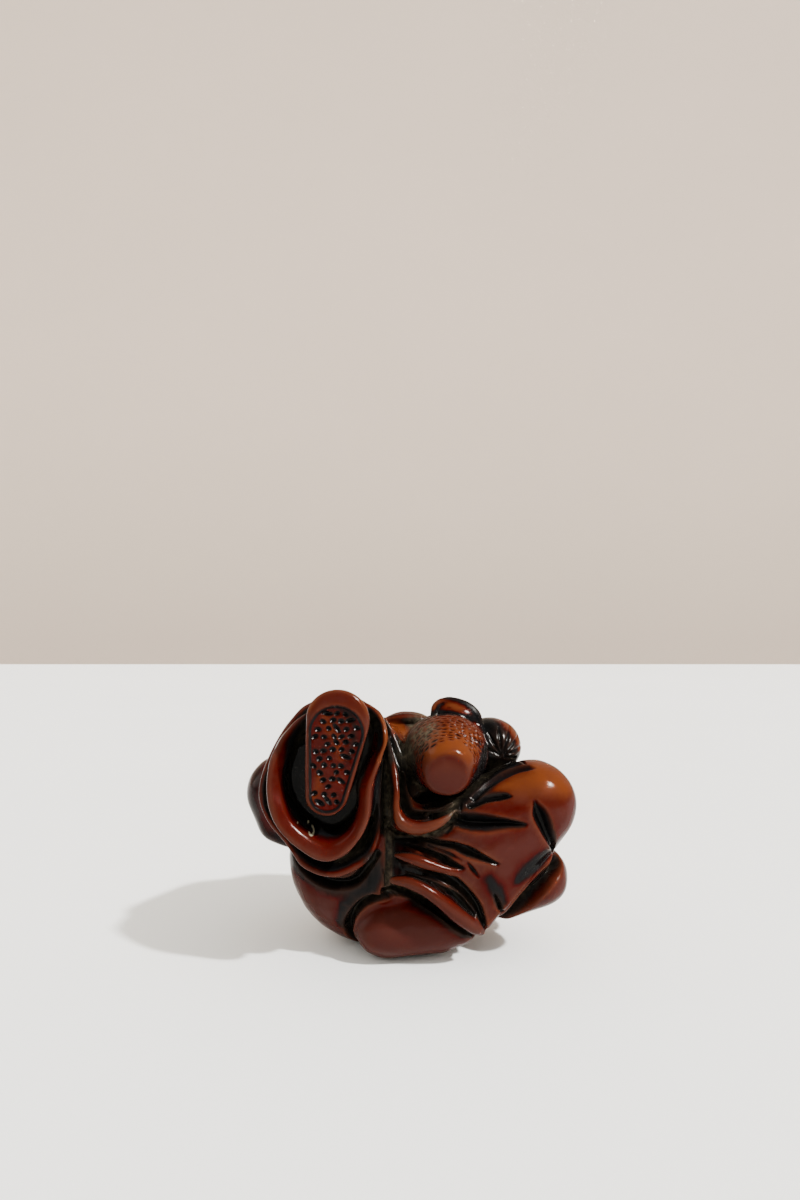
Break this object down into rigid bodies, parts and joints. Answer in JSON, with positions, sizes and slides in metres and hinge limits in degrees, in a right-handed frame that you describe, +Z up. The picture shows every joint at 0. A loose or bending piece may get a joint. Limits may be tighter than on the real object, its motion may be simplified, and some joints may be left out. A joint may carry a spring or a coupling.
{
  "type": "netsuke",
  "caption": "Rounded one-piece carving of a robed, bowed figure with a studded shoe sole, folded robe and a cord channel at the back; stands on a small flat.",
  "frame": {"origin": "on the ground under the middle of the carving's bounding box", "axes": "+Z up, +X to the viewer's right along the greatest width, -Y towards the viewer, who sees the shoe sole and the crown of the head"},
  "size_m": [0.0394, 0.0262, 0.0321],
  "materials": {
    "stained_boxwood": "dark stained boxwood, polished by handling, near black in the recesses and orange-brown on the worn high points"
  },
  "bodies": {
    "root": {"netsuke_figure": "stained_boxwood"}
  },
  "joints": []
}
